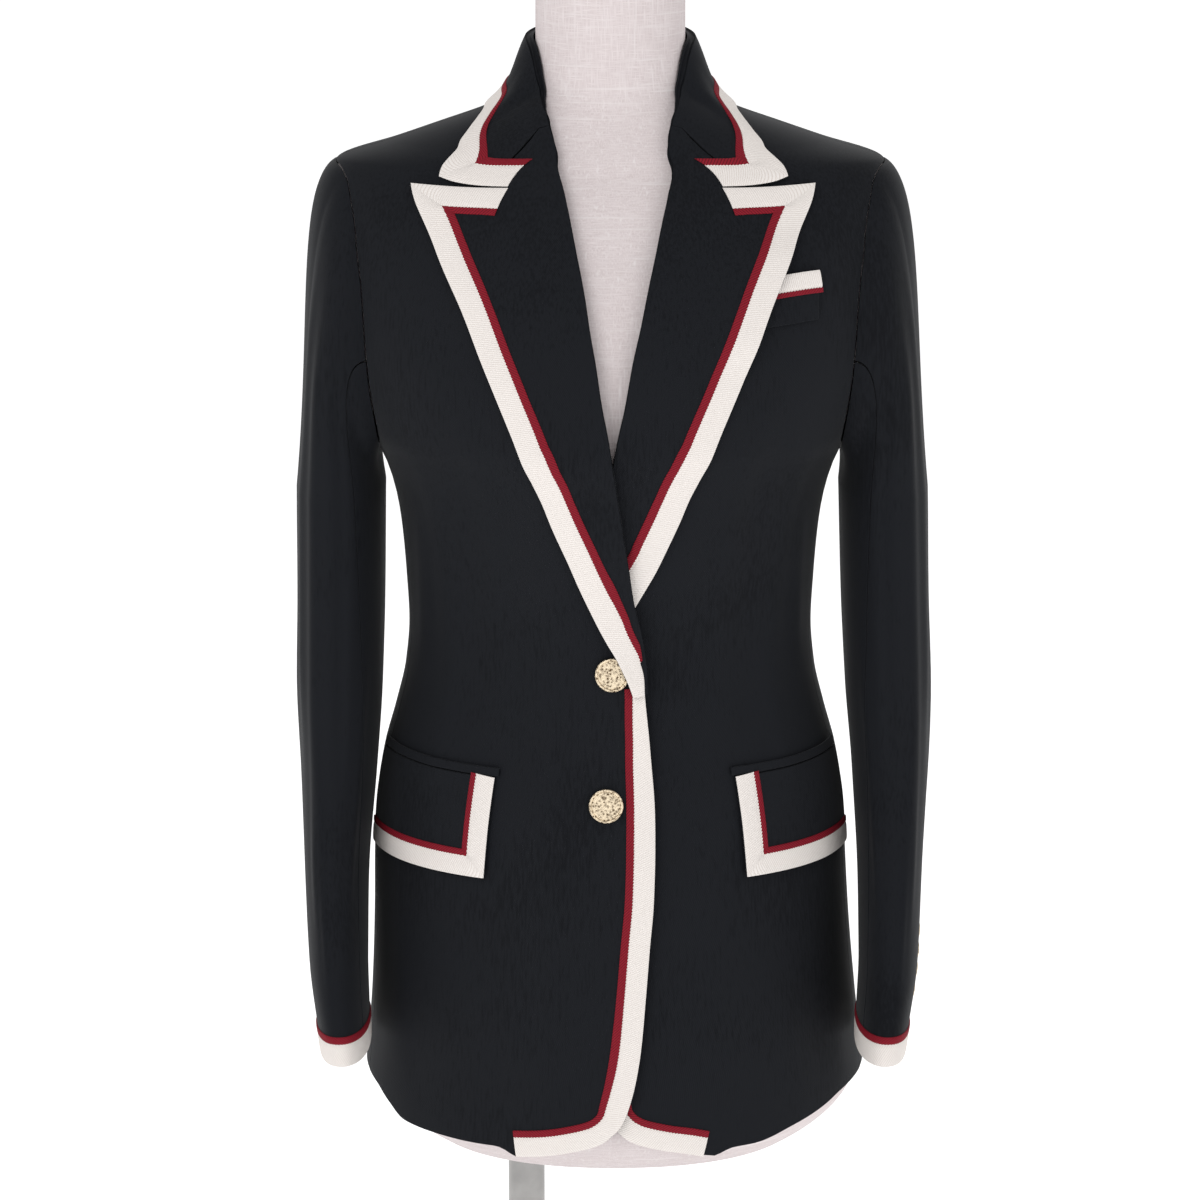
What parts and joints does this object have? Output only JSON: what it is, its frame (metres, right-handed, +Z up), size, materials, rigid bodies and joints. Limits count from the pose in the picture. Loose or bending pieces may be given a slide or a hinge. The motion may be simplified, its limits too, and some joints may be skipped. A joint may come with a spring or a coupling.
{
  "type": "tailored jacket on a limbless dress form",
  "caption": "Tailored jacket in black wool with peak lapels, flap pockets and a cream and burgundy braid edge, worn by a linen limbless dress form on a short metal stand.",
  "frame": {"origin": "centre of the stand's base on its flat underside, which rests on the floor", "axes": "+Z up, the jacket's front faces -Y, the wearer's right side is at -X"},
  "size_m": [0.4223, 0.32, 1.1135],
  "materials": {
    "black_wool_cloth": "matt fine twill wool",
    "cream_braid": "matt ribbed braid",
    "burgundy_braid": "matt twill braid",
    "gold_button_metal": "hammered pale gold",
    "linen_form_cover": "matt slubbed linen",
    "stand_steel": "satin"
  },
  "bodies": {
    "root": {"back_left": "black_wool_cloth", "back_right": "black_wool_cloth", "breast_welt": "black_wool_cloth", "collar_burgundy_braid": "burgundy_braid", "collar_cream_braid": "cream_braid", "collar_fall": "black_wool_cloth", "collar_stand": "black_wool_cloth", "cuff_button_left_1": "gold_button_metal", "cuff_button_left_2": "gold_button_metal", "cuff_button_left_3": "gold_button_metal", "cuff_button_left_4": "gold_button_metal", "cuff_button_right_1": "gold_button_metal", "cuff_button_right_2": "gold_button_metal", "cuff_button_right_3": "gold_button_metal", "cuff_button_right_4": "gold_button_metal", "cuff_left_burgundy_braid": "burgundy_braid", "cuff_left_cream_braid": "cream_braid", "cuff_right_burgundy_braid": "burgundy_braid", "cuff_right_cream_braid": "cream_braid", "edge_left_burgundy_braid": "burgundy_braid", "edge_left_cream_braid": "cream_braid", "edge_right_burgundy_braid": "burgundy_braid", "edge_right_cream_braid": "cream_braid", "flap_left_burgundy_braid": "burgundy_braid", "flap_left_cream_braid": "cream_braid", "flap_right_burgundy_braid": "burgundy_braid", "flap_right_cream_braid": "cream_braid", "form_body": "linen_form_cover", "form_neck_cap": "linen_form_cover", "front_button_lower": "gold_button_metal", "front_button_upper": "gold_button_metal", "front_left": "black_wool_cloth", "front_right": "black_wool_cloth", "lapel_left": "black_wool_cloth", "lapel_left_burgundy_braid": "burgundy_braid", "lapel_left_cream_braid": "cream_braid", "lapel_right": "black_wool_cloth", "lapel_right_burgundy_braid": "burgundy_braid", "lapel_right_cream_braid": "cream_braid", "pocket_flap_left": "black_wool_cloth", "pocket_flap_right": "black_wool_cloth", "pocket_jet_left": "black_wool_cloth", "pocket_jet_right": "black_wool_cloth", "side_panel_left": "black_wool_cloth", "side_panel_right": "black_wool_cloth", "stand_base": "stand_steel", "stand_flange": "stand_steel", "stand_pole": "stand_steel", "stand_socket": "stand_steel", "top_sleeve_left": "black_wool_cloth", "top_sleeve_right": "black_wool_cloth", "under_sleeve_left": "black_wool_cloth", "under_sleeve_right": "black_wool_cloth", "vent_left_burgundy_braid": "burgundy_braid", "vent_right_burgundy_braid": "burgundy_braid", "welt_burgundy_braid": "burgundy_braid", "welt_cream_braid": "cream_braid"}
  },
  "joints": []
}
